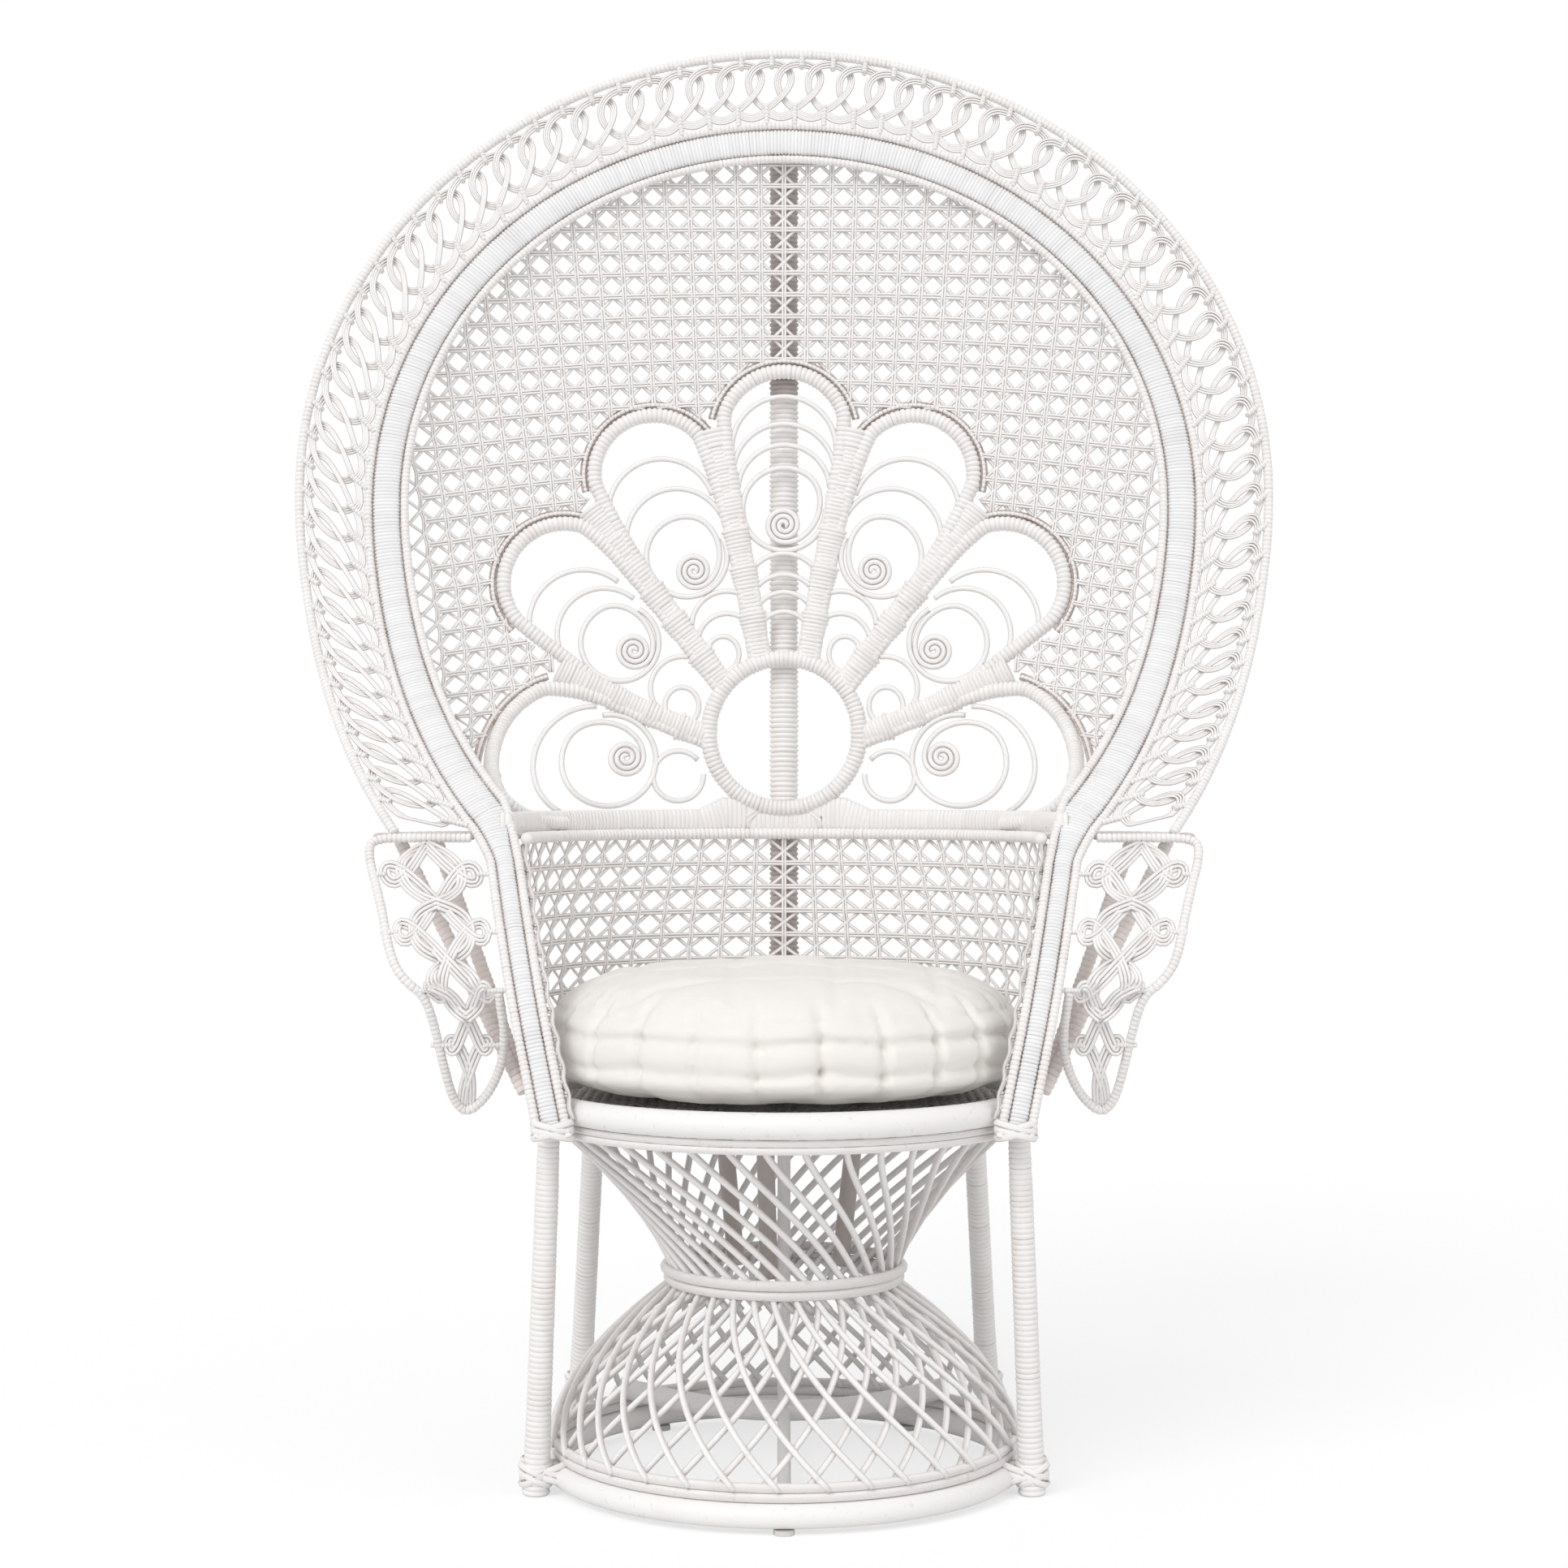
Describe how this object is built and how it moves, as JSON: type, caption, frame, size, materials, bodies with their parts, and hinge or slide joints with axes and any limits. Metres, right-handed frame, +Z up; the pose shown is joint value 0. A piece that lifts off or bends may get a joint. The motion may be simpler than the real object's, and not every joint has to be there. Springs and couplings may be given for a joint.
{
  "type": "peacock chair",
  "caption": "White rattan peacock chair: caned hourglass base, round tufted linen cushion, and a wide dished back with a fan of looped feathers inside a laced rim.",
  "frame": {"origin": "on the floor under the middle of the chair's bounding box", "axes": "+Z up, -Y towards the sitter's front, +X to the right as seen from the front"},
  "size_m": [1.077, 0.6098, 1.5435],
  "materials": {
    "painted_cane": "white satin paint on round rattan cane",
    "wrapped_cane": "white satin paint over tightly wrapped rattan peel",
    "linen": "cream linen in a fine herringbone weave",
    "glide": "matt off-white nylon"
  },
  "bodies": {
    "root": {"base_rail": "painted_cane", "glide_front": "glide", "glide_rear_left": "glide", "glide_rear_right": "glide", "base_trim_lower": "painted_cane", "base_trim_upper": "painted_cane", "base_cage": "painted_cane", "seat_cage": "painted_cane", "waist_cane_lower": "painted_cane", "waist_cane_upper": "painted_cane", "front_leg_left": "wrapped_cane", "rear_leg_left": "wrapped_cane", "front_leg_right": "wrapped_cane", "rear_leg_right": "wrapped_cane", "base_brace": "painted_cane", "base_post": "painted_cane", "base_stretcher": "painted_cane", "seat_rail": "painted_cane", "seat_trim_lower": "painted_cane", "seat_trim_upper": "painted_cane", "seat_deck": "wrapped_cane", "seat_cushion": "linen", "face_band": "wrapped_cane", "face_roll_inner": "wrapped_cane", "face_roll_outer": "wrapped_cane", "rim_hoop": "wrapped_cane", "rim_lace": "painted_cane", "fan_rail": "wrapped_cane", "lower_back_net": "painted_cane", "fan_hub": "wrapped_cane", "feather_top": "wrapped_cane", "curl_top": "painted_cane", "feather_upper_left": "wrapped_cane", "curl_upper_left": "painted_cane", "feather_upper_right": "wrapped_cane", "curl_upper_right": "painted_cane", "feather_middle_left": "wrapped_cane", "curl_middle_left": "painted_cane", "feather_middle_right": "wrapped_cane", "curl_middle_right": "painted_cane", "feather_lower_left": "wrapped_cane", "curl_lower_left": "painted_cane", "feather_lower_right": "wrapped_cane", "curl_lower_right": "painted_cane", "fan_board": "wrapped_cane", "upper_back_net": "painted_cane", "back_post": "wrapped_cane", "arm_frame_left": "wrapped_cane", "arm_braid_left": "painted_cane", "arm_top_left": "wrapped_cane", "arm_strut_left": "wrapped_cane", "arm_frame_right": "wrapped_cane", "arm_braid_right": "painted_cane", "arm_top_right": "wrapped_cane", "arm_strut_right": "wrapped_cane"}
  },
  "joints": []
}
